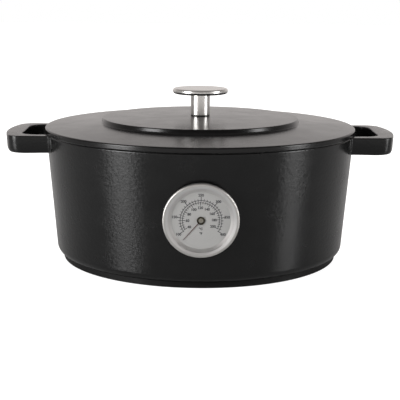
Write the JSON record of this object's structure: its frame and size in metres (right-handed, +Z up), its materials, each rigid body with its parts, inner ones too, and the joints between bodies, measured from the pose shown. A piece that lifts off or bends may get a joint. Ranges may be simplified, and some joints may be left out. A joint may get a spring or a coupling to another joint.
{
  "type": "dutch oven",
  "caption": "Round black enamelled cast-iron dutch oven with loop handles, a lift-off lid with a steel knob, and a dial thermometer on the front wall.",
  "frame": {"origin": "centre of the base, on the surface that the pot stands on", "axes": "+Z up along the pot's axis; the thermometer faces -Y; the two loop handles lie along X"},
  "size_m": [0.36, 0.2922, 0.1565],
  "materials": {
    "pot_enamel": "satin black enamel fired on cast iron",
    "lid_enamel": "satin black enamel fired on cast iron",
    "case_steel": "pressed stainless steel, dull",
    "bezel_steel": "stainless steel, satin front and polished inner slope",
    "ring_chrome": "polished ring",
    "dial_aluminium": "lacquered matt silver with printed scales",
    "lens_glass": "flat clear glass",
    "seal_rubber": "matt black high-temperature rubber",
    "movement_brass": "turned",
    "coil_steel": "rolled bimetal strip",
    "pointer_paint": "dark red-brown lacquer",
    "hub_brass": "dull turned brass",
    "spindle_steel": "polished end",
    "knob_steel": "turned stainless steel, polished",
    "gasket_rubber": "matt black high-temperature rubber",
    "fastener_steel": "stainless steel"
  },
  "bodies": {
    "pot": {"pot": "pot_enamel", "thermometer_case": "case_steel", "thermometer_stud": "fastener_steel", "dial_plate": "dial_aluminium", "spacer_ring": "ring_chrome", "thermometer_lens": "lens_glass", "lens_seal": "seal_rubber", "thermometer_bezel": "bezel_steel", "spindle_bush": "movement_brass", "spindle_cup": "movement_brass", "bimetal_coil": "coil_steel", "coil_anchor": "movement_brass"},
    "pointer": {"pointer": "pointer_paint", "pointer_hub": "hub_brass", "spindle": "spindle_steel", "coil_collet": "movement_brass"},
    "lid": {"lid": "lid_enamel", "knob": "knob_steel", "knob_gasket": "gasket_rubber", "knob_washer": "fastener_steel", "knob_screw": "fastener_steel"}
  },
  "joints": [
    {"name": "lid_lift", "type": "slide", "parent": "pot", "child": "lid", "axis": [0, 0, 1], "range_m": [0, 0.12]},
    {"name": "pointer_turn", "type": "hinge", "parent": "pot", "child": "pointer", "pos_m": [0, -0.13846, 0.0621], "axis": [0, 0.9966, 0.0826], "range_deg": [-10, 262], "stiffness_Nm_per_rad": 0.002, "deforming": ["bimetal_coil"]}
  ]
}
